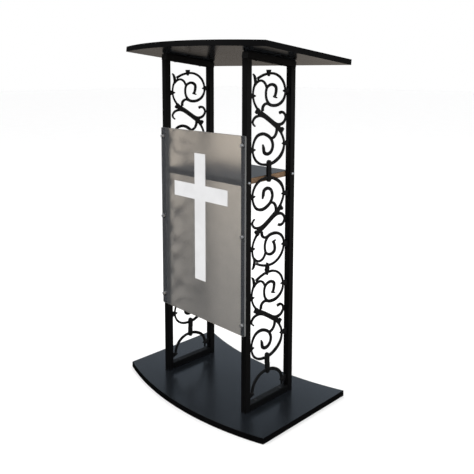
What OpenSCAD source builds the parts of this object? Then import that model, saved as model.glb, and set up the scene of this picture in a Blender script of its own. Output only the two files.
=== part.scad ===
// Fixed lectern: a shaped base board and a sloping desk board joined by two open side frames of square
// tube with scroll castings, a shelf between the frames and a clear front panel with a cross.
// Millimetres. X to the side, Y from the audience to the reader, Z up; the base stands on z = 0.

/* [Boards] */
// width of the base and of the desk board
board_w = 636; // [560:1:720]
// length of a board's straight side
board_side = 381; // [320:1:440]
// how far a front edge bows out, and the base board's rear edge bows in
board_bow = 55; // [20:1:80]
// thickness of the base board
board_t = 18; // [15:0.5:25]
// length of the desk board's straight side; its rear edge is straight
desk_side = 388; // [340:1:440]
// how far the desk board's front corners stand behind those of the base board, along the slope
desk_back = -2; // [-20:0.5:20]
// thickness of the desk board
desk_t = 17; // [15:0.5:25]
// thickness of an edge band
band_t = 1; // [0.5:0.1:2]
// height of the desk board's top face over the middle of the base
desk_z = 1107.9; // [1000:0.1:1200]
// slope of the desk board, down towards the reader
desk_tilt = 6.85; // [0:0.05:20]

/* [Frames] */
// distance between the middles of the two side frames
frame_pitch = 372; // [300:1:460]
// distance between the front and rear uprights' middles
upright_pitch = 193; // [160:1:240]
// how far the frames' middle is from the middle of the base
frame_y = -3; // [-20:0.5:20]
// width of the square tube
tube = 21; // [18:0.5:25]
// wall of the square tube
tube_wall = 1.5; // [1:0.1:3]
// outside corner radius of the tube
tube_r = 2; // [1:0.1:4]
// length of a top rail without its end plugs
rail_len = 207; // [190:1:230]
// distance along the slope from the middle of the desk to a top rail's front end
rail_front = 102.2; // [90:0.1:120]
// length of a rail plug's head
plug_head = 5; // [1:0.5:8]
// how much lower than the rail's top a plug's head ends
plug_drop = 2.4; // [0:0.1:4]

/* [Castings] */
// height of one scroll casting
cast_h = 303; // [280:1:320]
// height of the upper casting's top end
cast_top = 1050; // [1000:1:1060]
// thickness of the scrolls
cast_t = 4.5; // [3:0.5:8]
// thickness of the castings' posts, lugs and collars
post_t = 8; // [6:0.5:12]
// width that every scroll gains over its drawn width
scroll_gain = 0.6; // [0:0.1:1.5]
// how far the right frame's lower casting is welded off the middle, towards the reader
right_lower_off = -1.5; // [-4:0.5:4]
// the same of the left frame's lower casting
left_lower_off = 1; // [-4:0.5:4]

/* [Shelf] */
// thickness of the shelf's core
shelf_core_t = 16.4; // [14:0.1:20]
// thickness of a laminate sheet
laminate_t = 0.8; // [0.5:0.1:1.5]
// distance from the frames' middle to the shelf's front edge
shelf_front = 104; // [90:1:106]
// distance from the frames' middle to the shelf's rear edge
shelf_rear = 102; // [80:1:106]
// height of the middle of the shelf
shelf_z = 724.6; // [600:0.1:850]
// slope of the shelf, up towards the reader
shelf_tilt = 1.8; // [0:0.1:5]

/* [Panel] */
// width of the front panel
panel_w = 391; // [350:1:400]
// thickness of the front panel
panel_t = 6; // [4:0.5:10]
// height of the front panel's lower edge
panel_low = 261; // [200:1:300]
// height of the front panel's upper edge
panel_high = 861; // [800:1:900]
// height of the middle row of panel caps
cap_mid = 564; // [500:1:620]
// distance from one row of caps to the next
cap_pitch = 269; // [240:1:280]
// diameter of a panel cap
cap_d = 11; // [10:0.5:18]
// height of a panel cap
cap_h = 7; // [3:0.5:10]

/* [Cross] */
// width of the cross
cross_w = 250; // [200:1:300]
// height of the cross
cross_h = 404; // [300:1:450]
// width of the cross's stem
cross_stem = 50; // [30:1:60]
// height of the cross's arms
cross_arm = 48; // [30:1:60]
// height of the cross's foot above the floor
cross_low = 388; // [300:1:450]
// height of the middle of the arms above the floor
cross_mid = 669; // [550:1:750]
// thickness of the cross
cross_t = 2; // [0.5:0.5:5]

/* [Hidden] */

// round solids and bow edges
round_fn = 48;
bow_fn = 240;
stroke_step = 6;
// how far a cutting body runs past the face it cuts
over = 1;

// radius of the bow, the same at both front edges and at the rear of the base board
bow_r = (pow(board_w / 2, 2) + pow(board_bow, 2)) / (2 * board_bow);
// the base board is centred on its own middle, front to rear
board_front = -(board_side + board_bow) / 2;
front_centre = board_front + bow_r;
rear_centre = front_centre + board_side;
core_w = board_w - 2 * band_t;

front_y = frame_y - upright_pitch / 2;
rear_y = frame_y + upright_pitch / 2;
frame_x = frame_pitch / 2;
inner_x = frame_x - tube / 2;
upright_gap = upright_pitch - tube;
// an upright is drawn this tall, then cut off along the underside of the rail
upright_stock = desk_z + 20;

// the shelf just clears the uprights at both ends
shelf_gap = 0.2;
shelf_w = 2 * (inner_x - shelf_gap);
shelf_t = shelf_core_t + 2 * laminate_t;
shelf_band_t = 1;
// how deep a rail plug reaches into its rail
plug_depth = 10;

// screws: shank, clearance hole and head sizes
bolt_d = 6;
bolt_hole = 6.4;
bolt_head_d = 11;
bolt_head_h = 4.5;
bolt_grip = 24;
cap_stud = 14;
panel_hole = 7;
screw_d = 4;
screw_hole = 4.4;
screw_head_d = 8.5;
screw_head_h = 2.5;
screw_bite = 12;
screw_span = 55;
cap_edge = 1;
panel_r = 3;

black_board = [0.10, 0.11, 0.12];
black_band = [0.05, 0.05, 0.05];
black_coat = [0.06, 0.06, 0.07];
raw_board = [0.55, 0.42, 0.30];
steel = [0.75, 0.75, 0.76];
clear = [0.80, 0.83, 0.82, 0.5];
white = [0.93, 0.93, 0.92];

// ---- scroll castings: shapes in the plane of the frame, y to the right and z up ----
// One stroke is a list of [y, z, width]: a smooth band that runs through the points.
// The strokes of a full casting, about its own middle.
upper_ring = [
  [-53, 125, 7], [-31, 134.8, 6.5], [-5, 140.3, 6.5], [20, 140, 6.5], [44, 131, 6.5], [61, 115.5, 6.5],
  [69.5, 96, 5.5], [70, 77, 5.5], [60.5, 59.5, 7.5], [44, 48.8, 8.5], [20, 44.8, 9], [-1, 49.5, 8.5],
  [-12, 62, 6.5], [-16.3, 80, 6], [-11.5, 99, 6.5], [2, 107, 7.5], [17, 107, 8.5], [28.5, 99, 9],
  [28.5, 87, 8.5], [23.5, 73, 7.5]
];
curl_foot = [[17, 72.5, 4.5], [25, 69.8, 4.5], [33, 67.5, 2.5]];
side_arc = [
  [-57, 116, 7.5], [-66.5, 103, 5], [-70.5, 88, 4], [-70.5, 72, 4], [-66, 57, 4.5], [-57, 43, 5.5],
  [-50, 35, 6]
];
branch = [[-63, 107, 6], [-52, 116.5, 6.5], [-37, 120, 6], [-24, 115, 6], [-16, 105.5, 6], [-12.5, 97, 6]];
leaf = [[-61, 110, 8], [-62.5, 125, 8.5], [-66, 134, 6], [-71.5, 139.3, 2.5]];
short_curl = [[-2, 48.5, 7], [-18, 51, 7], [-28, 44, 8], [-30, 30, 9]];
stem = [[-54, 31.5, 14], [-27, 18.5, 14], [0, 3, 13.5], [25, -13, 14], [50, -29.5, 13]];
right_hook = [
  [22, -7, 8], [45, -13.8, 9], [64, -8, 7.5], [73, 7, 6], [66.5, 19.5, 6.5], [54, 23.8, 8], [44, 21, 8]
];
left_hook = [[-24, 13, 8], [-46, 16.8, 7], [-64, 11.5, 6.5], [-72, 0, 5], [-61.5, -13, 3.5]];
neck = [[33, -20, 9], [32, -36, 8.5], [25, -47.5, 7.5], [10, -53.5, 7]];
lower_ring = [
  [43, -29, 7], [58, -47, 6], [67, -70, 5.5], [65, -89, 7], [54.5, -106.5, 9.5], [34.5, -121, 9.5],
  [12, -129.5, 8.5], [-15, -131, 7], [-40, -126, 6.5], [-60, -112, 6], [-70.5, -91, 4.5], [-68.5, -64, 5],
  [-54, -43.5, 7.5], [-30, -37.3, 9], [-7, -44, 9], [9, -56.5, 8], [16, -75, 8], [8, -93.5, 8.5],
  [-9, -99.5, 9.5], [-22, -93.5, 9.5], [-25, -80, 9], [-28.5, -69, 2.5]
];
// the foot is the lower part of a plain ring, upside down
foot_ring = [
  [67, -58, 5], [68, -69, 6.5], [67, -80, 7.5], [62, -97, 8.5], [50, -111, 9.5], [34.5, -121, 9.5],
  [12, -129, 8.5], [-15, -130.5, 7.5], [-40, -123, 8.5], [-59, -106.5, 9], [-67, -89, 8.5], [-68.5, -76, 7],
  [-69.5, -68, 5]
];
foot_drop = 1.4;

// distance between neighbouring points of a list
function span(p, i) = norm([p[i + 1][0] - p[i][0], p[i + 1][1] - p[i][1]]);
// unit direction of the straight line between neighbouring points
function aim(p, i) = [p[i + 1][0] - p[i][0], p[i + 1][1] - p[i][1]] / span(p, i);
// direction of the stroke at an inner point, weighted towards the nearer neighbour
function mid_slope(p, i) =
  (aim(p, i - 1) * span(p, i) + aim(p, i) * span(p, i - 1)) / (span(p, i - 1) + span(p, i));
// direction of the stroke at any point; the ends continue the curve of their neighbour
function slope(p, i) =
  i == 0 ? 2 * aim(p, 0) - mid_slope(p, 1) :
  i == len(p) - 1 ? 2 * aim(p, i - 1) - mid_slope(p, i - 1) : mid_slope(p, i);
// place on the smooth curve between point i and the next one, t from 0 to 1
function along(p, i, t) =
  (2 * pow(t, 3) - 3 * pow(t, 2) + 1) * [p[i][0], p[i][1]] +
  (pow(t, 3) - 2 * pow(t, 2) + t) * span(p, i) * slope(p, i) +
  (3 * pow(t, 2) - 2 * pow(t, 3)) * [p[i + 1][0], p[i + 1][1]] +
  (pow(t, 3) - pow(t, 2)) * span(p, i) * slope(p, i + 1);
// direction of travel at the same place
function travel(p, i, t) =
  (6 * pow(t, 2) - 6 * t) * ([p[i][0], p[i][1]] - [p[i + 1][0], p[i + 1][1]]) +
  (3 * pow(t, 2) - 4 * t + 1) * span(p, i) * slope(p, i) +
  (3 * pow(t, 2) - 2 * t) * span(p, i) * slope(p, i + 1);
// the stroke's edge on one side: side is 1 or -1
function edge_at(p, i, t, side) =
  let (v = travel(p, i, t), w = scroll_gain + p[i][2] + t * (p[i + 1][2] - p[i][2]))
  along(p, i, t) + side * w / 2 * [-v[1], v[0]] / norm(v);
// the whole edge on one side, in pieces no longer than about stroke_step
function edge(p, side) = [
  for (i = [0 : len(p) - 2])
  let (steps = ceil(span(p, i) / stroke_step))
  for (k = [0 : steps - (i == len(p) - 2 ? 0 : 1)])
  edge_at(p, i, k / steps, side)
];
function backwards(l) = [for (i = [len(l) - 1 : -1 : 0]) l[i]];
module stroke(p) {
  polygon(concat(edge(p, 1), backwards(edge(p, -1))));
}

// a lug: wide at its flat end, a small point where it crosses the ring; it points along +y from its end
module lug_2d(length, end_w) {
  neck_w = 11;
  tip_w = 2.4;
  tip = 8.5;
  polygon([
    [0, -end_w / 2],
    [length - 2, -neck_w / 2],
    [length + tip, -tip_w / 2],
    [length + tip, tip_w / 2],
    [length - 2, neck_w / 2],
    [0, end_w / 2]
  ]);
}

// a lug from an upright's face to the ring, whose edge is ring_y from the casting's middle
module side_lug(side, z, ring_y, end_w, off) {
  face = upright_gap / 2 - side * off;
  translate([side * face, z]) rotate(side > 0 ? 180 : 0) lug_2d(face - ring_y, end_w);
}

// half of the post that joins two castings, with a round nose
module half_post_2d() {
  nose = 7.7;
  length = 25.5;
  translate([-nose, 0]) square([2 * nose, length]);
  translate([0, length]) circle(nose, $fn = round_fn);
}

// stands a shape drawn in the frame's plane upright, t thick, in the middle of a side frame
module in_plane(t) {
  rotate([90, 0, 90]) translate([0, 0, -t / 2]) linear_extrude(t) children();
}

module scroll_strokes() {
  for (s = [upper_ring, curl_foot, side_arc, branch, leaf, short_curl]) stroke(s);
  for (s = [stem, right_hook, left_hook, neck, lower_ring]) stroke(s);
}

// off: how far the casting sits off the middle between the uprights
module full_casting(off) {
  in_plane(cast_t) scroll_strokes();
  in_plane(post_t) {
    translate([-4.5, cast_h / 2]) rotate(-90) lug_2d(10.5, 15);
    side_lug(1, 88, 70.5, 20, off);
    side_lug(-1, 76, 70.5, 20, off);
    side_lug(1, -73, 68.5, 20, off);
    side_lug(-1, -82, 70.5, 22, off);
    translate([-0.8, -cast_h / 2]) half_post_2d();
    translate([-52, 31.5]) rotate(-38) square([9, 17], center = true);
    translate([56, -31]) rotate(-40) square([9, 16], center = true);
  }
}

module foot_arch() {
  mirror([0, 0, 1]) {
    in_plane(cast_t) translate([0, foot_drop]) stroke(foot_ring);
    in_plane(post_t) {
      translate([-0.8, -cast_h / 2]) half_post_2d();
      side_lug(1, -73, 68.5, 20, 0);
      side_lug(-1, -73, 70.5, 20, 0);
    }
  }
}

// ---- boards ----
module board_2d(width, inset) {
  difference() {
    intersection() {
      translate([-width / 2, board_front]) square([width, board_side + board_bow]);
      translate([0, front_centre]) circle(bow_r - inset, $fn = bow_fn);
    }
    translate([0, rear_centre]) circle(bow_r + inset, $fn = bow_fn);
  }
}

module front_band_2d() {
  difference() {
    intersection() {
      translate([-core_w / 2, board_front]) square([core_w, board_bow + 2 * band_t]);
      translate([0, front_centre]) circle(bow_r, $fn = bow_fn);
    }
    translate([0, front_centre]) circle(bow_r - band_t, $fn = bow_fn);
  }
}

module rear_band_2d() {
  depth = board_bow + 2 * band_t;
  difference() {
    intersection() {
      translate([-core_w / 2, -board_front - depth]) square([core_w, depth]);
      translate([0, rear_centre]) circle(bow_r + band_t, $fn = bow_fn);
    }
    translate([0, rear_centre]) circle(bow_r, $fn = bow_fn);
  }
}

// the strip along one side in which a side band lies; it covers the ends of the front and rear bands
module side_strip_2d(side, depth) {
  translate([side > 0 ? core_w / 2 : -board_w / 2, board_front]) square([band_t, depth]);
}

// the desk board has the same bowed front and a straight rear edge
module desk_2d(width, inset) {
  intersection() {
    translate([-width / 2, board_front]) square([width, board_bow + desk_side - inset]);
    translate([0, front_centre]) circle(bow_r - inset, $fn = bow_fn);
  }
}

module on_base() {
  linear_extrude(board_t) children();
}

// the desk board's own sloping frame: its top face is at height 0
module desk_frame() {
  translate([0, 0, desk_z]) rotate([-desk_tilt, 0, 0]) children();
}

module on_desk() {
  desk_frame() translate([0, desk_back, -desk_t]) linear_extrude(desk_t) children();
}

// positions of the long screws: both frames, two to a rail
module each_screw() {
  for (x = [-frame_x, frame_x], y = [-screw_span, screw_span]) translate([x, frame_y + y, 0]) children();
}

// the same in the desk board's sloping frame, on the underside of a top rail
module each_desk_screw() {
  desk_frame() translate([0, 0, -desk_t - tube]) each_screw() children();
}

// the body of a round hole
module bore(length, d) {
  cylinder(h = length, d = d, $fn = round_fn);
}

module base_board() {
  color(black_board) difference() {
    on_base() board_2d(core_w, band_t);
    each_screw() translate([0, 0, board_t - screw_bite]) bore(screw_bite + over, screw_d);
  }
}

module base_front_band() {
  color(black_band) on_base() front_band_2d();
}

module base_rear_band() {
  color(black_band) on_base() rear_band_2d();
}

module base_side_band(side) {
  color(black_band) on_base() intersection() {
    board_2d(board_w, 0);
    side_strip_2d(side, board_side + board_bow);
  }
}

module desk_board() {
  color(black_board) difference() {
    on_desk() desk_2d(core_w, band_t);
    each_desk_screw() translate([0, 0, tube - over]) bore(screw_bite + over, screw_d);
  }
}

module desk_front_band() {
  color(black_band) on_desk() front_band_2d();
}

module desk_rear_band() {
  color(black_band) on_desk()
    translate([-core_w / 2, board_front + board_bow + desk_side - band_t]) square([core_w, band_t]);
}

module desk_side_band(side) {
  color(black_band) on_desk() intersection() {
    desk_2d(board_w, 0);
    side_strip_2d(side, board_bow + desk_side);
  }
}

// ---- side frames ----
module tube_2d() {
  flat = tube - 2 * tube_r;
  difference() {
    union() {
      square([tube, flat], center = true);
      square([flat, tube], center = true);
      for (x = [-flat / 2, flat / 2], y = [-flat / 2, flat / 2])
        translate([x, y]) circle(tube_r, $fn = round_fn);
    }
    square(tube - 2 * tube_wall, center = true);
  }
}

module above_rails() {
  desk_frame() translate([-board_w / 2, -board_side / 2, -desk_t - tube]) cube([board_w, board_side, 6 * tube]);
}

// height of the shelf's middle layer at a place along y
function bolt_z(y) = shelf_z + (y - frame_y) * tan(shelf_tilt);

// cuts the holes for the shelf bolts through both walls
module bolt_hole(y) {
  translate([0, y, bolt_z(y)])
    rotate([0, 90, 0]) cylinder(h = board_w, d = bolt_hole, center = true, $fn = round_fn);
}

module front_upright(side) {
  color(black_coat) difference() {
    translate([side * frame_x, front_y, board_t]) linear_extrude(upright_stock - board_t) tube_2d();
    above_rails();
    bolt_hole(front_y);
    for (k = [-1, 0, 1])
      translate([side * frame_x, front_y - tube, cap_mid + k * cap_pitch])
        rotate([-90, 0, 0]) cylinder(h = tube, d = bolt_hole, $fn = round_fn);
  }
}

module rear_upright(side) {
  color(black_coat) difference() {
    translate([side * frame_x, rear_y, board_t]) linear_extrude(upright_stock - board_t) tube_2d();
    above_rails();
    bolt_hole(rear_y);
  }
}

module top_rail(side) {
  color(black_coat) difference() {
    desk_frame() translate([side * frame_x, -rail_front, -desk_t - tube / 2])
      rotate([-90, 0, 0]) linear_extrude(rail_len) tube_2d();
    each_desk_screw() translate([0, 0, -over]) bore(tube + 2 * over, screw_hole);
  }
}

module bottom_rail(side) {
  color(black_coat) difference() {
    translate([side * frame_x, front_y + tube / 2, board_t + tube / 2])
      rotate([-90, 0, 0]) linear_extrude(upright_gap) tube_2d();
    each_screw() translate([0, 0, board_t - over]) bore(tube + 2 * over, screw_hole);
  }
}

// plugs in the open ends of the top rails, each with a head a little lower than the rail
module rail_plugs() {
  plug = tube - 2 * tube_wall;
  color(black_coat) desk_frame()
    for (x = [-frame_x, frame_x]) {
      for (y = [-rail_front - plug_head, rail_len - rail_front])
        translate([x - tube / 2, y, -desk_t - tube]) cube([tube, plug_head, tube - plug_drop]);
      for (y = [-rail_front, rail_len - rail_front - plug_depth])
        translate([x - plug / 2, y, -desk_t - tube + tube_wall]) cube([plug, plug_depth, plug - plug_drop]);
    }
}

// the middle casting is turned upside down
module scroll(side, step) {
  lower_off = side > 0 ? right_lower_off : left_lower_off;
  off = step == 2 ? lower_off : 0;
  color(black_coat)
    translate([side * frame_x, frame_y + off, cast_top - (step + 0.5) * cast_h])
      mirror([0, 0, step == 1 ? 1 : 0]) full_casting(off);
}

module foot(side) {
  color(black_coat) translate([side * frame_x, frame_y, cast_top - 3.5 * cast_h]) foot_arch();
}

// ---- shelf ----
module on_shelf(z) {
  translate([0, frame_y, shelf_z]) rotate([shelf_tilt, 0, 0]) translate([0, 0, z]) children();
}

module shelf_sheet(z, t) {
  depth = shelf_front + shelf_rear - 2 * shelf_band_t;
  on_shelf(z) translate([-shelf_w / 2, -shelf_front + shelf_band_t, 0]) cube([shelf_w, depth, t]);
}

module shelf_core() {
  color(raw_board) difference() {
    shelf_sheet(-shelf_core_t / 2, shelf_core_t);
    for (x = [-inner_x, inner_x], y = [front_y, rear_y])
      translate([x, y, bolt_z(y)])
        rotate([0, 90, 0]) cylinder(h = 2 * bolt_grip, d = bolt_d, center = true, $fn = round_fn);
  }
}

module shelf_laminate(z) {
  color(black_board) shelf_sheet(z, laminate_t);
}

module shelf_band(y) {
  color(black_band) on_shelf(-shelf_t / 2)
    translate([-shelf_w / 2, y, 0]) cube([shelf_w, shelf_band_t, shelf_t]);
}

// button-headed bolts from outside each upright into the shelf's ends
module shelf_bolts() {
  dome_r = (pow(bolt_head_d / 2, 2) + pow(bolt_head_h, 2)) / (2 * bolt_head_h);
  shank = tube + bolt_grip - over;
  color(steel)
    for (side = [-1, 1], y = [front_y, rear_y])
      translate([side * (frame_x + tube / 2), y, bolt_z(y)]) rotate([0, side * 90, 0]) {
        translate([0, 0, -shank]) cylinder(h = shank, d = bolt_d, $fn = round_fn);
        intersection() {
          translate([0, 0, bolt_head_h - dome_r]) sphere(r = dome_r, $fn = round_fn);
          cylinder(h = bolt_head_h, d = bolt_head_d, $fn = round_fn);
        }
      }
}

// ---- front panel ----
module front_panel() {
  flat_w = panel_w - 2 * panel_r;
  flat_h = panel_high - panel_low - 2 * panel_r;
  mid = (panel_high + panel_low) / 2;
  color(clear) translate([0, front_y - tube / 2, 0]) rotate([90, 0, 0]) linear_extrude(panel_t) difference() {
    translate([0, mid]) {
      square([panel_w, flat_h], center = true);
      square([flat_w, flat_h + 2 * panel_r], center = true);
      for (x = [-flat_w / 2, flat_w / 2], y = [-flat_h / 2, flat_h / 2])
        translate([x, y]) circle(panel_r, $fn = round_fn);
    }
    for (x = [-frame_x, frame_x], k = [-1, 0, 1])
      translate([x, cap_mid + k * cap_pitch]) circle(d = panel_hole, $fn = round_fn);
  }
}

module cross() {
  color(white) translate([0, front_y - tube / 2 - panel_t, 0]) rotate([90, 0, 0]) linear_extrude(cross_t) {
    translate([-cross_stem / 2, cross_low]) square([cross_stem, cross_h]);
    translate([-cross_w / 2, cross_mid - cross_arm / 2]) square([cross_w, cross_arm]);
  }
}

// round caps with a stud through the panel and the front wall of the upright
module panel_caps() {
  color(steel)
    for (x = [-frame_x, frame_x], k = [-1, 0, 1])
      translate([x, front_y - tube / 2 - panel_t, cap_mid + k * cap_pitch]) rotate([90, 0, 0]) {
        cylinder(h = cap_h - cap_edge, d = cap_d, $fn = round_fn);
        translate([0, 0, cap_h - cap_edge])
          cylinder(h = cap_edge, d1 = cap_d, d2 = cap_d - 2 * cap_edge, $fn = round_fn);
        translate([0, 0, -cap_stud]) cylinder(h = cap_stud, d = bolt_d, $fn = round_fn);
      }
}

// ---- screws that hold the boards ----
module pan_screw(length) {
  translate([0, 0, -screw_head_h]) cylinder(h = screw_head_h, d = screw_head_d, $fn = round_fn);
  cylinder(h = length, d = screw_d, $fn = round_fn);
}

module desk_screws() {
  color(steel) each_desk_screw() pan_screw(tube + screw_bite - 1);
}

module base_screws() {
  color(steel) each_screw()
    translate([0, 0, board_t + tube]) mirror([0, 0, 1]) pan_screw(tube + screw_bite - 1);
}

base_board();
base_front_band();
base_rear_band();
base_side_band(-1);  // base_left_band
base_side_band(1);  // base_right_band
desk_board();
desk_front_band();
desk_rear_band();
desk_side_band(-1);  // desk_left_band
desk_side_band(1);  // desk_right_band
front_upright(-1);  // left_front_upright
rear_upright(-1);  // left_rear_upright
top_rail(-1);  // left_top_rail
bottom_rail(-1);  // left_bottom_rail
front_upright(1);  // right_front_upright
rear_upright(1);  // right_rear_upright
top_rail(1);  // right_top_rail
bottom_rail(1);  // right_bottom_rail
rail_plugs();
scroll(-1, 0);  // left_upper_scroll
scroll(-1, 1);  // left_middle_scroll
scroll(-1, 2);  // left_lower_scroll
foot(-1);  // left_foot_arch
scroll(1, 0);  // right_upper_scroll
scroll(1, 1);  // right_middle_scroll
scroll(1, 2);  // right_lower_scroll
foot(1);  // right_foot_arch
shelf_core();
shelf_laminate(shelf_core_t / 2);  // shelf_top_laminate
shelf_laminate(-shelf_t / 2);  // shelf_bottom_laminate
shelf_band(-shelf_front);  // shelf_front_band
shelf_band(shelf_rear - shelf_band_t);  // shelf_rear_band
shelf_bolts();
front_panel();
cross();
panel_caps();
desk_screws();
base_screws();
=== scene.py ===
"""Looks for the pulpit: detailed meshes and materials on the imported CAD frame, in metres."""
import math

import bmesh
import bpy
from mathutils import Matrix, Vector
from mathutils.geometry import tessellate_polygon


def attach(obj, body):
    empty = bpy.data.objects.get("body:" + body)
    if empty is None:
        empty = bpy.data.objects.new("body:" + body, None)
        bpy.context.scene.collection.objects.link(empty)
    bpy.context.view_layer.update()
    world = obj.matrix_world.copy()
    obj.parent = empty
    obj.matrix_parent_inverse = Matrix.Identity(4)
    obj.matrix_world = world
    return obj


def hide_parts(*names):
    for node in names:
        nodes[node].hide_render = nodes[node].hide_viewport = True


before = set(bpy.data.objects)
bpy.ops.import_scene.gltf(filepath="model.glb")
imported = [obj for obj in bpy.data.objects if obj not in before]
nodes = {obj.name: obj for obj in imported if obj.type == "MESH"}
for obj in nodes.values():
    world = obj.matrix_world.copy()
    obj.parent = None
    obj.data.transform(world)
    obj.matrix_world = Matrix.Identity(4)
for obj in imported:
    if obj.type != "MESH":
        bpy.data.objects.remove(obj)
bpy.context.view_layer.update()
mm = 0.001

# ---- sizes, the same as the CAD's ----
HALF_W = 318 * mm
SIDE = 381 * mm
BOW = 55 * mm
BOARD_T = 18 * mm
BAND_T = 1 * mm
BOW_R = (HALF_W**2 + BOW**2) / (2 * BOW)
FRONT_CENTRE = -(SIDE + BOW) / 2 + BOW_R
REAR_CENTRE = FRONT_CENTRE + SIDE
DESK_Z = 1107.9 * mm
DESK_TILT = math.radians(6.85)
DESK_SIDE = 388 * mm
DESK_BACK = -2 * mm
DESK_T = 17 * mm
TUBE = 21 * mm
TUBE_WALL = 1.5 * mm
TUBE_R = 2 * mm
FRAME_X = 186 * mm
FRAME_Y = -3 * mm
FRONT_Y = -99.5 * mm
REAR_Y = 93.5 * mm
RAIL_FRONT = -102.2 * mm
RAIL_REAR = 104.8 * mm
PLUG_HEAD = 5 * mm
PLUG_DROP = 2.4 * mm
SHELF_Z = 724.6 * mm
SHELF_TILT = math.radians(1.8)
SHELF_HALF = 175.3 * mm
SHELF_FRONT = -104 * mm
SHELF_REAR = 102 * mm
SHELF_T = 18 * mm
LAMINATE_T = 0.8 * mm
PANEL_HALF = 195.5 * mm
PANEL_LOW = 261 * mm
PANEL_HIGH = 861 * mm
PANEL_T = 6 * mm
PANEL_R = 3 * mm
CAP_ROWS = (295 * mm, 564 * mm, 833 * mm)
CAP_R = 5.5 * mm
CAP_H = 7 * mm
CAP_STUD = 14 * mm
BOLT_R = 3 * mm
BOLT_HEAD_R = 5.5 * mm
BOLT_HEAD_H = 4.5 * mm
BOLT_SHANK = 43 * mm
SCREW_R = 2 * mm
SCREW_HEAD_R = 4.25 * mm
SCREW_HEAD_H = 2.5 * mm
SCREW_SHANK = 31 * mm
PANEL_HOLE_R = 3.5 * mm
CROSS_T = 2 * mm
PLUG_DEPTH = 10 * mm
SCREW_SPAN = 55 * mm
VIEW_TURN = math.radians(46.463)
# the way to the right as the camera looks at the pulpit
ACROSS = Vector((math.cos(VIEW_TURN), math.sin(VIEW_TURN), 0))

ON_DESK = Matrix.Translation((0, 0, DESK_Z)) @ Matrix.Rotation(-DESK_TILT, 4, "X")
ON_SHELF = Matrix.Translation((0, FRAME_Y, SHELF_Z)) @ Matrix.Rotation(SHELF_TILT, 4, "X")
# lays a shape drawn in x and z, extruded towards the audience
TO_FRONT = Matrix.Rotation(math.pi / 2, 4, "X")


# ---- materials ----
class Look:
    """A Principled material and short ways to add procedural detail to it."""

    def __init__(self, name, **sockets):
        self.material = bpy.data.materials.new(name)
        self.material.use_nodes = True
        self.tree = self.material.node_tree
        self.shader = self.tree.nodes["Principled BSDF"]
        for key, value in sockets.items():
            self.shader.inputs[key.replace("_", " ")].default_value = value
        self.coords = self.tree.nodes.new("ShaderNodeTexCoord")

    def set(self, socket, output):
        self.tree.links.new(output, self.shader.inputs[socket])

    def mapped(self, scale):
        node = self.tree.nodes.new("ShaderNodeMapping")
        node.inputs["Scale"].default_value = scale
        self.tree.links.new(self.coords.outputs["Object"], node.inputs["Vector"])
        return node.outputs["Vector"]

    def noise(self, scale, stretch=(1, 1, 1), detail=3.0, rough=0.55):
        node = self.tree.nodes.new("ShaderNodeTexNoise")
        node.inputs["Scale"].default_value = scale
        node.inputs["Detail"].default_value = detail
        node.inputs["Roughness"].default_value = rough
        self.tree.links.new(self.mapped(stretch), node.inputs["Vector"])
        return node.outputs["Fac"]

    def ramp(self, fac, *stops):
        return colour_ramp(self.tree, fac, stops)

    def spread(self, fac, low, high):
        """fac from 0.3 to 0.7 becomes low to high."""
        node = self.tree.nodes.new("ShaderNodeMapRange")
        node.inputs["From Min"].default_value = 0.3
        node.inputs["From Max"].default_value = 0.7
        node.inputs["To Min"].default_value = low
        node.inputs["To Max"].default_value = high
        self.tree.links.new(fac, node.inputs["Value"])
        return node.outputs["Result"]

    def bump(self, height, distance, strength, onto=None):
        node = self.tree.nodes.new("ShaderNodeBump")
        node.inputs["Strength"].default_value = strength
        node.inputs["Distance"].default_value = distance
        self.tree.links.new(height, node.inputs["Height"])
        if onto is not None:
            self.tree.links.new(onto, node.inputs["Normal"])
        return node.outputs["Normal"]

    def mix(self, share, a, b):
        """(1 - share) * a + share * b of two number outputs."""
        node = self.tree.nodes.new("ShaderNodeMix")
        node.inputs[0].default_value = share
        self.tree.links.new(a, node.inputs[2])
        self.tree.links.new(b, node.inputs[3])
        return node.outputs[0]

    def mix_colour(self, share, a, b):
        node = self.tree.nodes.new("ShaderNodeMix")
        node.data_type = "RGBA"
        node.inputs[0].default_value = share
        self.tree.links.new(a, node.inputs[6])
        self.tree.links.new(b, node.inputs[7])
        return node.outputs[2]


def colour_ramp(tree, fac, stops):
    """A colour ramp node: each stop is (place, grey or colour)."""
    node = tree.nodes.new("ShaderNodeValToRGB")
    elements = node.color_ramp.elements
    while len(elements) < len(stops):
        elements.new(0.5)
    for element, (place, colour) in zip(elements, stops):
        element.position = place
        element.color = (*colour, 1) if hasattr(colour, "__len__") else (colour, colour, colour, 1)
    tree.links.new(fac, node.inputs["Fac"])
    return node.outputs["Color"]


def shade(tint, factor):
    return [c * factor for c in tint]


def board_laminate(name, tint, rough):
    """Black melamine: a fine pressed grain, cloudy sheen and slight variation of the black."""
    look = Look(name, Specular_IOR_Level=0.42)
    grain = look.noise(520, (0.08, 1, 1), detail=2, rough=0.5)
    tone = look.mix(0.3, look.noise(9, detail=4), grain)
    look.set("Base Color", look.ramp(tone, (0.25, shade(tint, 0.8)), (0.75, shade(tint, 1.25))))
    look.set("Roughness", look.spread(look.noise(3, detail=2), rough - 0.01, rough + 0.02))
    look.set("Normal", look.bump(grain, 0.00002, 0.15))
    return look.material


def coated(name, tint, rough, peel_scale, peel_depth, shine=0.1):
    """Satin coat: orange peel, a cloudy gloss and a slightly uneven black."""
    look = Look(name, Specular_IOR_Level=shine)
    cloud = look.noise(14, detail=5)
    peel = look.noise(peel_scale, detail=2, rough=0.5)
    tone = look.mix(0.3, cloud, peel)
    look.set("Base Color", look.ramp(tone, (0.3, shade(tint, 0.7)), (0.72, shade(tint, 1.5))))
    look.set("Roughness", look.spread(cloud, rough - 0.05, rough + 0.07))
    look.set("Normal", look.bump(peel, peel_depth, 0.5))
    return look.material


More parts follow.
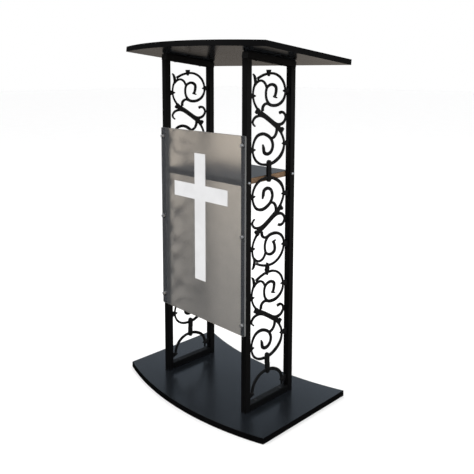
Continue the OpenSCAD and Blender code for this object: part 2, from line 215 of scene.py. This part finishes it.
def cast_paint():
    """Black paint over a sand casting: a lumpy skin under a fine grain."""
    look = Look("black_casting", Specular_IOR_Level=0.14)
    lumps = look.noise(220, detail=4)
    grain = look.noise(1900, detail=2)
    look.set("Base Color", look.ramp(lumps, (0.3, (0.0028, 0.0028, 0.003)), (0.7, (0.0068, 0.0068, 0.0072))))
    look.set("Roughness", look.spread(lumps, 0.4, 0.56))
    look.set("Normal", look.bump(grain, 0.00005, 0.5, onto=look.bump(lumps, 0.0003, 0.45)))
    return look.material


def raw_board():
    """Sawn particle board: pressed chips of several browns with small voids."""
    look = Look("raw_board", Specular_IOR_Level=0.25)
    chips = look.tree.nodes.new("ShaderNodeTexVoronoi")
    chips.inputs["Scale"].default_value = 420
    chips.inputs["Randomness"].default_value = 1.0
    look.tree.links.new(look.mapped((1, 0.35, 1.5)), chips.inputs["Vector"])
    browns = ((0.1, (0.10, 0.055, 0.030)), (0.5, (0.19, 0.115, 0.065)), (0.9, (0.29, 0.19, 0.115)))
    fine = look.noise(900, (1, 0.4, 1.6), detail=6)
    dust = look.ramp(fine, (0.35, (0.08, 0.045, 0.025)), (0.65, (0.30, 0.20, 0.12)))
    look.set("Base Color", look.mix_colour(0.35, look.ramp(chips.outputs["Color"], *browns), dust))
    look.set("Roughness", look.spread(fine, 0.78, 0.95))
    look.set("Normal", look.bump(fine, 0.0003, 0.8, onto=look.bump(chips.outputs["Distance"], 0.0005, 0.6)))
    return look.material


def steel(name, tint, rough):
    """Turned steel: fine rings of scratches and a little smear."""
    look = Look(name, Metallic=1.0)
    lines = look.noise(2600, (1, 0.12, 1), detail=3)
    smear = look.noise(160, detail=3)
    look.set("Base Color", look.ramp(smear, (0.3, shade(tint, 0.86)), (0.7, tint)))
    look.set("Roughness", look.spread(smear, rough - 0.06, rough + 0.1))
    look.set("Normal", look.bump(lines, 0.00002, 0.5))
    return look.material


def acrylic(name, rough):
    """One face of a smoky acrylic sheet: clear plastic with a faintly uneven frosting."""
    look = Look(name, Transmission_Weight=0.885, IOR=1.49, Specular_IOR_Level=0.5)
    blast = look.noise(30, detail=5)
    grit = look.noise(3500, detail=2)
    look.set("Base Color", look.ramp(blast, (0.3, (0.268, 0.287, 0.320)), (0.7, (0.294, 0.315, 0.352))))
    look.set("Roughness", look.spread(blast, rough - 0.03, rough + 0.03))
    look.set("Normal", look.bump(grit, 0.00002, 0.3))
    return look.material


def acrylic_edge():
    """The sawn and scraped edge of the sheet, where light gathered inside leaves it."""
    look = Look("acrylic_edge", Transmission_Weight=0.5, IOR=1.49, Specular_IOR_Level=0.5)
    saw = look.noise(900, (1, 1, 6), detail=3)
    look.set("Base Color", look.ramp(saw, (0.3, (0.21, 0.215, 0.215)), (0.7, (0.30, 0.305, 0.305))))
    look.set("Roughness", look.spread(saw, 0.32, 0.5))
    look.set("Normal", look.bump(saw, 0.00006, 0.5))
    return look.material


def vinyl():
    """White film: a matt skin with faint clouds."""
    look = Look("white_plastic", Specular_IOR_Level=0.35)
    cloud = look.noise(22, detail=4)
    grain = look.noise(2400, detail=2)
    look.set("Base Color", look.ramp(cloud, (0.3, (0.595, 0.595, 0.60)), (0.7, (0.645, 0.645, 0.65))))
    look.set("Roughness", look.spread(cloud, 0.48, 0.6))
    look.set("Normal", look.bump(grain, 0.00003, 0.3))
    return look.material


MATS = {
    "board": board_laminate("board_laminate", (0.0080, 0.0098, 0.0122), 0.24),
    "shelf": board_laminate("shelf_laminate", (0.012, 0.0125, 0.013), 0.30),
    "band": coated("edge_band", (0.0022, 0.0022, 0.0024), 0.46, 700, 0.00004, 0.05),
    "coat": coated("black_coat", (0.0020, 0.0020, 0.0022), 0.46, 800, 0.00006, 0.14),
    "plug": coated("black_plug", (0.009, 0.009, 0.009), 0.6, 1500, 0.00004),
    "casting": cast_paint(),
    "raw": raw_board(),
    "steel": steel("brushed_steel", (0.78, 0.78, 0.79), 0.3),
    "cap": steel("satin_steel", (0.90, 0.90, 0.91), 0.52),
    "screw": steel("black_screw", (0.06, 0.06, 0.062), 0.4),
    "acrylic": acrylic("acrylic_front", 0.09),
    "frosted": acrylic("acrylic_back", 0.40),
    "edge": acrylic_edge(),
    "white": vinyl(),
}


# ---- mesh helpers ----
def finish_piece(name, mesh, replaces, sharp=35):
    """Makes an object of the mesh that rides on the root, and hides the CAD node it stands for."""
    bm = bmesh.new()
    bm.from_mesh(mesh)
    bmesh.ops.recalc_face_normals(bm, faces=bm.faces)
    bm.to_mesh(mesh)
    bm.free()
    mesh.shade_smooth()
    obj = bpy.data.objects.new(name, mesh)
    bpy.context.scene.collection.objects.link(obj)
    if sharp:
        mesh.set_sharp_from_angle(angle=math.radians(sharp))
        weighted = obj.modifiers.new("normals", "WEIGHTED_NORMAL")
        weighted.keep_sharp = True
        weighted.weight = 100
    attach(obj, "root")
    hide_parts(replaces)


class Build:
    """Collects vertices and faces of several closed shapes into one piece."""

    def __init__(self):
        self.verts, self.faces, self.mats = [], [], []

    def add(self, verts, faces, mats=None, matrix=None):
        base = len(self.verts)
        self.verts += [matrix @ Vector(v) for v in verts] if matrix is not None else verts
        self.faces += [tuple(base + i for i in f) for f in faces]
        self.mats += mats or [0] * len(faces)

    def make(self, name, mats, replaces, slot):
        mesh = bpy.data.meshes.new(name)
        mesh.from_pydata([tuple(v) for v in self.verts], [], self.faces)
        for key in mats:
            mesh.materials.append(MATS[key])
        mesh.polygons.foreach_set("material_index", self.mats)
        finish_piece(name, mesh, replaces)


def offset(loop, d):
    """The loop moved to its left by d, with mitred corners; a counter-clockwise loop shrinks."""
    out = []
    n = len(loop)
    for i in range(n):
        p, q, r = Vector(loop[i - 1]), Vector(loop[i]), Vector(loop[(i + 1) % n])
        a, b = (q - p).normalized(), (r - q).normalized()
        na, nb = Vector((-a.y, a.x)), Vector((-b.y, b.x))
        out.append(q + d * (na + nb) / (1 + na.dot(nb)))
    return out


def plate(outer, z0, z1, bevel, holes=(), steps=3, edge_mat=0, cap_mats=(0, 0)):
    """A flat plate with rounded edges: (verts, faces, face materials)."""
    verts, faces, mats = [], [], []
    loops = [(list(outer), 1)] + [(list(h), -1) for h in holes]
    turns = [math.pi / 2 * k / steps for k in range(steps + 1)]
    heights = [(bevel * (1 - math.sin(t)), z0 + bevel * (1 - math.cos(t))) for t in turns]
    rings = heights + [(inset, z0 + z1 - z) for inset, z in reversed(heights)]
    caps = ([], [])
    for loop, sign in loops:
        n = len(loop)
        first = len(verts)
        for inset, z in rings:
            for p in offset(loop, sign * inset) if inset > 1e-9 else loop:
                verts.append(Vector((p[0], p[1], z)))
        for k in range(len(rings) - 1):
            for i in range(n):
                j = (i + 1) % n
                a, b = first + k * n, first + (k + 1) * n
                quad = (a + i, a + j, b + j, b + i)
                faces.append(quad if sign > 0 else quad[::-1])
                mats.append(edge_mat)
        caps[0].append(list(range(first, first + n)))
        caps[1].append(list(range(first + (len(rings) - 1) * n, first + len(rings) * n)))
    for side, cap in enumerate(caps):
        flat = [i for ring in cap for i in ring]
        for tri in tessellate_polygon([[verts[i] for i in ring] for ring in cap]):
            t = tuple(flat[i] for i in tri)
            up = (verts[t[1]] - verts[t[0]]).cross(verts[t[2]] - verts[t[0]]).z > 0
            faces.append(t if up == (side == 1) else t[::-1])
            mats.append(cap_mats[side])
    return verts, faces, mats


def ring_faces(rings, n, closed_ends=True):
    faces = []
    for k in range(rings - 1):
        for i in range(n):
            j = (i + 1) % n
            faces.append((k * n + i, k * n + j, (k + 1) * n + j, (k + 1) * n + i))
    if closed_ends:
        faces.append(tuple(reversed(range(n))))
        faces.append(tuple(range((rings - 1) * n, rings * n)))
    return faces


def turned(profile, n=48):
    """The rings of points that (radius, z) points leave when they are turned round z."""
    angles = [2 * math.pi * i / n for i in range(n)]
    return [Vector((r * math.cos(a), r * math.sin(a), z)) for r, z in profile for a in angles]


def lathe(profile, n=48):
    """A closed solid turned round z from (radius, z) points, from its lower end to its upper end."""
    return turned(profile, n), ring_faces(len(profile), n)


def rounded_rect(x0, y0, x1, y1, r, per_corner=8):
    """Counter-clockwise outline of a rectangle with round corners."""
    out = []
    right, top, left, bottom = x1 - r, y1 - r, x0 + r, y0 + r
    for cx, cy, start in ((right, top, 0), (left, top, 90), (left, bottom, 180), (right, bottom, 270)):
        for k in range(per_corner + 1):
            a = math.radians(start + 90 * k / per_corner)
            out.append((cx + r * math.cos(a), cy + r * math.sin(a)))
    return out


def rect(x0, y0, x1, y1):
    return [(x0, y0), (x1, y0), (x1, y1), (x0, y1)]


def circle(x, y, r, n=40):
    angles = [2 * math.pi * i / n for i in range(n)]
    return [(x + r * math.cos(a), y + r * math.sin(a)) for a in angles]


# ---- boards ----
def bow(x_from, x_to, centre, radius, n=72):
    """Points along the edge of a bowed board, from one x to another."""
    a, b = math.asin(x_from / radius), math.asin(x_to / radius)
    angles = [a + (b - a) * k / n for k in range(n + 1)]
    return [(radius * math.sin(t), centre - radius * math.cos(t)) for t in angles]


def strip(centre, inner, outer, half):
    """The outline of one curved edge band."""
    return bow(-half, half, centre, outer) + bow(half, -half, centre, inner)


def board_y(x, centre):
    return centre - math.sqrt(BOW_R**2 - x * x)


def make_board(row, matrix, thickness, rear_core, rear_strip, rear_y):
    """A board with its four edge bands; rear_y gives the rear edge's y at any x."""
    half = HALF_W - BAND_T
    core = Build()
    outline = bow(-half, half, FRONT_CENTRE, BOW_R - BAND_T) + rear_core
    core.add(*plate(outline, 0, thickness, 0.05 * mm, steps=1), matrix=matrix)
    core.make(f"{row}_board_core", ["board"], replaces=f"{row}_board", slot="board_laminate")
    shapes = {"front": strip(FRONT_CENTRE, BOW_R - BAND_T, BOW_R, half), "rear": rear_strip}
    for side, x0, x1 in (("left", -HALF_W, -half), ("right", half, HALF_W)):
        ends = [board_y(x, FRONT_CENTRE) for x in (x0, x1)] + [rear_y(x) for x in (x1, x0)]
        shapes[side] = list(zip((x0, x1, x1, x0), ends))
    for side, outline in shapes.items():
        b = Build()
        b.add(*plate(outline, 0, thickness, 0.28 * mm, steps=2), matrix=matrix)
        b.make(f"{row}_{side}_edge", ["band"], replaces=f"{row}_{side}_band", slot="edge_band")


CORE_HALF_W = HALF_W - BAND_T
DESK_REAR = FRONT_CENTRE - BOW_R + BOW + DESK_SIDE
make_board(
    "base",
    Matrix.Identity(4),
    BOARD_T,
    bow(CORE_HALF_W, -CORE_HALF_W, REAR_CENTRE, BOW_R + BAND_T),
    strip(REAR_CENTRE, BOW_R, BOW_R + BAND_T, CORE_HALF_W),
    lambda x: board_y(x, REAR_CENTRE),
)
make_board(
    "desk",
    ON_DESK @ Matrix.Translation((0, DESK_BACK, -DESK_T)),
    DESK_T,
    [(CORE_HALF_W, DESK_REAR - BAND_T), (-CORE_HALF_W, DESK_REAR - BAND_T)],
    rect(-CORE_HALF_W, DESK_REAR - BAND_T, CORE_HALF_W, DESK_REAR),
    lambda x: DESK_REAR,
)


# ---- tubes ----
def tube(name, node, low, high):
    """A square tube between two end functions: each turns (x, y) of the section into a point."""
    outer = rounded_rect(-TUBE / 2, -TUBE / 2, TUBE / 2, TUBE / 2, TUBE_R, 6)
    bore = TUBE / 2 - TUBE_WALL
    inner = rounded_rect(-bore, -bore, bore, bore, 0.6 * mm, 6)
    n = len(outer)
    rings = ((low, outer), (high, outer), (high, inner), (low, inner))
    verts = [end(*p) for end, ring in rings for p in ring]
    faces = []
    for k in range(4):
        a, b = k * n, ((k + 1) % 4) * n
        faces += [(a + i, a + (i + 1) % n, b + (i + 1) % n, b + i) for i in range(n)]
    part = Build()
    part.add(verts, faces)
    part.make(name, ["coat"], replaces=node, slot="black_coat")


def rail_underside(y):
    return DESK_Z - (DESK_T + TUBE) / math.cos(DESK_TILT) - y * math.tan(DESK_TILT)


for side, sign in (("left", -1), ("right", 1)):
    cx = sign * FRAME_X
    for which, cy in (("front", FRONT_Y), ("rear", REAR_Y)):
        tube(
            f"{side}_{which}_post",
            f"{side}_{which}_upright",
            lambda x, y: Vector((cx + x, cy + y, BOARD_T)),
            lambda x, y: Vector((cx + x, cy + y, rail_underside(cy + y))),
        )
    tube(
        f"{side}_floor_rail",
        f"{side}_bottom_rail",
        lambda x, y: Vector((cx + x, FRONT_Y + TUBE / 2, BOARD_T + TUBE / 2 + y)),
        lambda x, y: Vector((cx + x, REAR_Y - TUBE / 2, BOARD_T + TUBE / 2 + y)),
    )
    tube(
        f"{side}_desk_rail",
        f"{side}_top_rail",
        lambda x, y: ON_DESK @ Vector((cx + x, RAIL_FRONT, -DESK_T - TUBE / 2 + y)),
        lambda x, y: ON_DESK @ Vector((cx + x, RAIL_REAR, -DESK_T - TUBE / 2 + y)),
    )

HEAD_HIGH = TUBE - PLUG_DROP
PLUG_HALF = TUBE / 2 - TUBE_WALL
plugs = Build()
for cx in (-FRAME_X, FRAME_X):
    m = ON_DESK @ Matrix.Translation((cx, 0, -DESK_T - TUBE)) @ TO_FRONT
    for head_at, body_at in ((RAIL_FRONT - PLUG_HEAD, RAIL_FRONT), (RAIL_REAR, RAIL_REAR - PLUG_DEPTH)):
        head = rounded_rect(-TUBE / 2, 0, TUBE / 2, HEAD_HIGH, 1.5 * mm, 4)
        plugs.add(*plate(head, -head_at - PLUG_HEAD, -head_at, 1 * mm), matrix=m)
        body = rounded_rect(-PLUG_HALF, TUBE_WALL, PLUG_HALF, HEAD_HIGH - TUBE_WALL, 0.6 * mm, 3)
        plugs.add(*plate(body, -body_at - PLUG_DEPTH, -body_at, 0.3 * mm), matrix=m)
plugs.make("rail_end_plugs", ["plug"], replaces="rail_plugs", slot="black_plug")


# ---- castings: the CAD outline with its edges and corners rounded as in a casting ----
VOXEL = 0.6 * mm


def rounded_casting(node):
    """A mesh of the node's shape with soft edges, made by remeshing, smoothing and thinning out."""
    source = nodes[node].data.copy()
    source.materials.clear()
    work = bpy.data.objects.new("work", source)
    bpy.context.scene.collection.objects.link(work)
    remesh = work.modifiers.new("remesh", "REMESH")
    remesh.mode = "VOXEL"
    remesh.voxel_size = VOXEL
    soften = work.modifiers.new("soften", "SMOOTH")
    soften.factor = 0.5
    soften.iterations = 4
    regrow = work.modifiers.new("regrow", "DISPLACE")
    regrow.mid_level = 0
    regrow.strength = 0.22 * mm
    thin = work.modifiers.new("thin", "DECIMATE")
    thin.ratio = 0.12
    graph = bpy.context.evaluated_depsgraph_get()
    mesh = bpy.data.meshes.new_from_object(work.evaluated_get(graph))
    bpy.data.objects.remove(work)
    return mesh


for side in ("left", "right"):
    levels = ("upper", "middle", "lower")
    castings = [(f"{side}_{level}_casting", f"{side}_{level}_scroll") for level in levels]
    for name, node in [*castings, (f"{side}_foot_casting", f"{side}_foot_arch")]:
        mesh = rounded_casting(node)
        mesh.materials.append(MATS["casting"])
        finish_piece(name, mesh, node, sharp=0)


# ---- shelf ----
def shelf_piece(name, mat, node, slot, y0, y1, z0, z1, bevel):
    b = Build()
    b.add(*plate(rect(-SHELF_HALF, y0, SHELF_HALF, y1), z0, z1, bevel, steps=2), matrix=ON_SHELF)
    b.make(name, [mat], replaces=node, slot=slot)


CORE_HALF = SHELF_T / 2 - LAMINATE_T
layers = (
    ("shelf_board", "raw", "shelf_core", "raw_board", -CORE_HALF, CORE_HALF),
    ("shelf_upper_face", "shelf", "shelf_top_laminate", "board_laminate", CORE_HALF, SHELF_T / 2),
    ("shelf_lower_face", "shelf", "shelf_bottom_laminate", "board_laminate", -SHELF_T / 2, -CORE_HALF),
)
for name, mat, node, slot, z0, z1 in layers:
    shelf_piece(name, mat, node, slot, SHELF_FRONT + BAND_T, SHELF_REAR - BAND_T, z0, z1, 0.06 * mm)
for which, y in (("front", SHELF_FRONT), ("rear", SHELF_REAR - BAND_T)):
    name, node = f"shelf_{which}_edge", f"shelf_{which}_band"
    shelf_piece(name, "band", node, "edge_band", y, y + BAND_T, -SHELF_T / 2, SHELF_T / 2, 0.25 * mm)


# ---- hardware ----
def socket_head(head_r, head_h, hex_r, hex_depth, shank_r, shank):
    """A domed head with a hexagon socket on a plain shank, the head's underside at z = 0."""
    dome_r = (head_r**2 + head_h**2) / (2 * head_h)
    n = 48
    profile = [(shank_r, -shank), (shank_r, 0), (head_r - 0.2 * mm, 0)]
    top = math.acos((dome_r - head_h) / dome_r)
    steps = 10
    inner = math.asin(min(1, hex_r * 1.22 / dome_r))
    for k in range(steps + 1):
        a = top + (inner - top) * k / steps
        profile.append((dome_r * math.sin(a), head_h - dome_r + dome_r * math.cos(a)))
    verts = turned(profile, n)
    faces = ring_faces(len(profile), n, closed_ends=False)
    faces.append(tuple(reversed(range(n))))
    rim = (len(profile) - 1) * n
    lip_z = profile[-1][1]

    def hexagon(z):
        out = []
        for i in range(n):
            a = 2 * math.pi * i / n
            wedge = (a + math.pi / 6) % (math.pi / 3) - math.pi / 6
            r = hex_r * math.cos(math.pi / 6) / math.cos(wedge)
            out.append(Vector((r * math.cos(a), r * math.sin(a), z)))
        return out

    for z in (lip_z, lip_z - hex_depth):
        start = len(verts)
        verts += hexagon(z)
        faces += [(rim + i, rim + (i + 1) % n, start + (i + 1) % n, start + i) for i in range(n)]
        rim = start
    faces.append(tuple(range(rim, rim + n)))
    return verts, faces


def turned_cap(r, h, stud_r, stud):
    """A flat round cap with a rounded rim and a shallow turned ring, its back at z = 0."""
    soft = 0.9 * mm
    profile = [(stud_r, -stud), (stud_r, 0), (r - 0.25 * mm, 0), (r, 0.25 * mm), (r, h - soft)]
    for a in (math.pi / 8 * k for k in range(1, 5)):
        profile.append((r - soft + soft * math.cos(a), h - soft + soft * math.sin(a)))
    groove = h - 0.25 * mm
    profile += [(r * 0.62, h), (r * 0.58, groove), (r * 0.5, groove), (r * 0.46, h), (0.3 * mm, h)]
    return lathe(profile)


def at_front(x, z):
    return Matrix.Translation((x, FRONT_Y - TUBE / 2 - PANEL_T, z)) @ TO_FRONT


caps = Build()
for cx in (-FRAME_X, FRAME_X):
    for z in CAP_ROWS:
        caps.add(*turned_cap(CAP_R, CAP_H, BOLT_R, CAP_STUD), matrix=at_front(cx, z))
caps.make("panel_cap_screws", ["cap"], replaces="panel_caps", slot="steel")

bolts = Build()
for sign in (-1, 1):
    for y in (FRONT_Y, REAR_Y):
        place = (sign * (FRAME_X + TUBE / 2), y, SHELF_Z + (y - FRAME_Y) * math.tan(SHELF_TILT))
        m = Matrix.Translation(place) @ Matrix.Rotation(sign * math.pi / 2, 4, "Y")
        bolts.add(*socket_head(BOLT_HEAD_R, BOLT_HEAD_H, 2.0 * mm, 2.2 * mm, BOLT_R, BOLT_SHANK), matrix=m)
bolts.make("shelf_bolt_set", ["steel"], replaces="shelf_bolts", slot="steel")

desk_set, base_set = Build(), Build()
for cx in (-FRAME_X, FRAME_X):
    for dy in (-SCREW_SPAN, SCREW_SPAN):
        head = socket_head(SCREW_HEAD_R, SCREW_HEAD_H, 1.6 * mm, 1.4 * mm, SCREW_R, SCREW_SHANK)
        down = Matrix.Rotation(math.pi, 4, "X")
        desk_set.add(*head, matrix=ON_DESK @ Matrix.Translation((cx, FRAME_Y + dy, -DESK_T - TUBE)) @ down)
        base_set.add(*head, matrix=Matrix.Translation((cx, FRAME_Y + dy, BOARD_T + TUBE)))
desk_set.make("desk_screw_set", ["screw"], replaces="desk_screws", slot="black_screw")
base_set.make("base_screw_set", ["screw"], replaces="base_screws", slot="black_screw")


# ---- front panel and cross ----
sheet = Build()
outline = rounded_rect(-PANEL_HALF, PANEL_LOW, PANEL_HALF, PANEL_HIGH, PANEL_R)
holes = [circle(x, z, PANEL_HOLE_R) for x in (-FRAME_X, FRAME_X) for z in CAP_ROWS]
back_of_panel = Matrix.Translation((0, FRONT_Y - TUBE / 2, 0)) @ TO_FRONT
sheet.add(*plate(outline, 0, PANEL_T, 0.35 * mm, holes, edge_mat=1, cap_mats=(2, 0)), matrix=back_of_panel)
sheet.make("front_sheet", ["acrylic", "edge", "frosted"], replaces="front_panel", slot="acrylic")

stem, arm = 25 * mm, 125 * mm
low, high, arm_low, arm_high = 388 * mm, 792 * mm, 645 * mm, 693 * mm
cross_outline = [
    (-stem, low), (stem, low), (stem, arm_low), (arm, arm_low), (arm, arm_high), (stem, arm_high),
    (stem, high), (-stem, high), (-stem, arm_high), (-arm, arm_high), (-arm, arm_low), (-stem, arm_low),
]
emblem = Build()
emblem.add(*plate(cross_outline, 0, CROSS_T, 0.4 * mm), matrix=at_front(0, 0))
emblem.make("white_cross", ["white"], replaces="cross", slot="white_plastic")


# ---- stage: floor, light and camera ----
def stage():
    scene = bpy.context.scene
    mesh = bpy.data.meshes.new("floor")
    size = 30.0
    mesh.from_pydata([(x, y, 0) for x, y in rect(-size, -size, size, size)], [], [(0, 1, 2, 3)])
    look = Look("floor", Roughness=0.85, Specular_IOR_Level=0.1)
    look.set("Base Color", look.ramp(look.noise(3, detail=4), (0.3, 0.95), (0.7, 0.965)))
    mesh.materials.append(look.material)
    floor = bpy.data.objects.new("floor", mesh)
    scene.collection.objects.link(floor)
    # the room beyond the white paper is what the boards mirror and the panel lets through
    floor.visible_glossy = False
    floor.visible_transmission = False

    world = bpy.data.worlds.new("studio")
    scene.world = world
    world.use_nodes = True
    world.cycles.sampling_method = "NONE"
    tree = world.node_tree
    tree.nodes.clear()
    out = tree.nodes.new("ShaderNodeOutputWorld")
    path = tree.nodes.new("ShaderNodeLightPath")
    coords = tree.nodes.new("ShaderNodeTexCoord")

    def ramp_along(direction, stops):
        """Colour that changes along a direction: each stop is (place from -1 to 1, colour)."""
        along = tree.nodes.new("ShaderNodeVectorMath")
        along.operation = "DOT_PRODUCT"
        along.inputs[1].default_value = direction
        tree.links.new(coords.outputs["Generated"], along.inputs[0])
        lift = tree.nodes.new("ShaderNodeMapRange")
        lift.inputs["From Min"].default_value = -1
        tree.links.new(along.outputs["Value"], lift.inputs["Value"])
        return colour_ramp(tree, lift.outputs[0], [((place + 1) / 2, colour) for place, colour in stops])

    def gradient(upward, sideways):
        """Light that changes with height, times a factor that changes from left to right."""
        product = tree.nodes.new("ShaderNodeMix")
        product.data_type = "RGBA"
        product.blend_type = "MULTIPLY"
        product.inputs[0].default_value = 1
        tree.links.new(ramp_along((0, 0, 1), upward), product.inputs[6])
        tree.links.new(ramp_along(ACROSS, sideways), product.inputs[7])
        bg = tree.nodes.new("ShaderNodeBackground")
        tree.links.new(product.outputs[2], bg.inputs["Color"])
        return bg

    def plain(colour, strength):
        bg = tree.nodes.new("ShaderNodeBackground")
        bg.inputs["Color"].default_value = (*colour, 1)
        bg.inputs["Strength"].default_value = strength
        return bg

    def choose(fac, a, b):
        node = tree.nodes.new("ShaderNodeMixShader")
        tree.links.new(fac, node.inputs[0])
        tree.links.new(a.outputs[0], node.inputs[1])
        tree.links.new(b.outputs[0], node.inputs[2])
        return node

    seen = plain((1, 1, 1), 1.0)
    fill = plain((1.0, 1.0, 1.0), 1.06)
    mirrored = gradient(
        (
            (-0.42, 0.0),
            (-0.34, 0.02),
            (-0.24, (0.31, 0.275, 0.24)),
            (-0.04, (0.335, 0.305, 0.275)),
            (0.08, 0.20),
            (0.17, (0.15, 0.15, 0.145)),
            (0.30, (0.40, 0.41, 0.42)),
            (0.36, (1.05, 1.22, 1.42)),
            (0.42, (0.74, 0.86, 1.03)),
            (0.44, (0.32, 0.38, 0.45)),
            (0.465, (0.14, 0.17, 0.21)),
            (0.49, (0.08, 0.11, 0.14)),
            (0.56, (0.08, 0.10, 0.12)),
            (1.0, 0.30),
        ),
        (
            (-1.0, 0.35),
            (-0.3, 0.7),
            (-0.11, 0.97),
            (0.0, 1.0),
            (0.12, 1.3),
            (0.22, 2.0),
            (0.4, 2.1),
            (1.0, 1.6),
        ),
    )
    through = gradient(
        (
            (-1.0, (0.80, 0.71, 0.57)),
            (-0.45, (0.82, 0.73, 0.59)),
            (-0.38, (0.94, 0.82, 0.66)),
            (-0.30, (1.17, 1.02, 0.82)),
            (-0.22, (1.58, 1.36, 1.07)),
            (-0.13, (2.32, 1.88, 1.38)),
            (0.1, (2.60, 2.07, 1.48)),
        ),
        ((-1.0, 0.5), (-0.3, 0.6), (-0.07, 0.84), (0.0, 1.0), (0.05, 1.07), (0.3, 1.1), (1.0, 0.9)),
    )
    shader = choose(path.outputs["Is Glossy Ray"], fill, mirrored)
    shader = choose(path.outputs["Is Transmission Ray"], shader, through)
    shader = choose(path.outputs["Is Camera Ray"], shader, seen)
    tree.links.new(shader.outputs[0], out.inputs["Surface"])

    def softbox(name, place, target, size_x, size_y, watts):
        data = bpy.data.lights.new(name, "AREA")
        data.shape = "RECTANGLE"
        data.size, data.size_y, data.energy = size_x, size_y, watts
        lamp = bpy.data.objects.new(name, data)
        lamp.location = place
        lamp.rotation_euler = (Vector(target) - Vector(place)).to_track_quat("-Z", "Y").to_euler()
        scene.collection.objects.link(lamp)

    softbox("key", (-1.6, -2.6, 2.6), (0, 0, 0.55), 1.8, 1.8, 34)
    softbox("side", (2.8, 0.6, 2.4), (0, 0, 0.5), 1.6, 1.6, 16)
    softbox("top", (0, 0.2, 3.4), (0, 0, 0), 2.4, 2.4, 30)

    data = bpy.data.cameras.new("camera")
    data.sensor_width = 36
    data.lens = 46.488
    data.shift_x = 0.02312
    data.shift_y = -0.20371
    cam = bpy.data.objects.new("camera", data)
    cam.location = (1.4184, -1.3528, 1.0455)
    cam.rotation_euler = (math.radians(90 - 6.45), 0, VIEW_TURN)
    scene.collection.objects.link(cam)
    scene.camera = cam
    scene.view_settings.view_transform = "Standard"


stage()
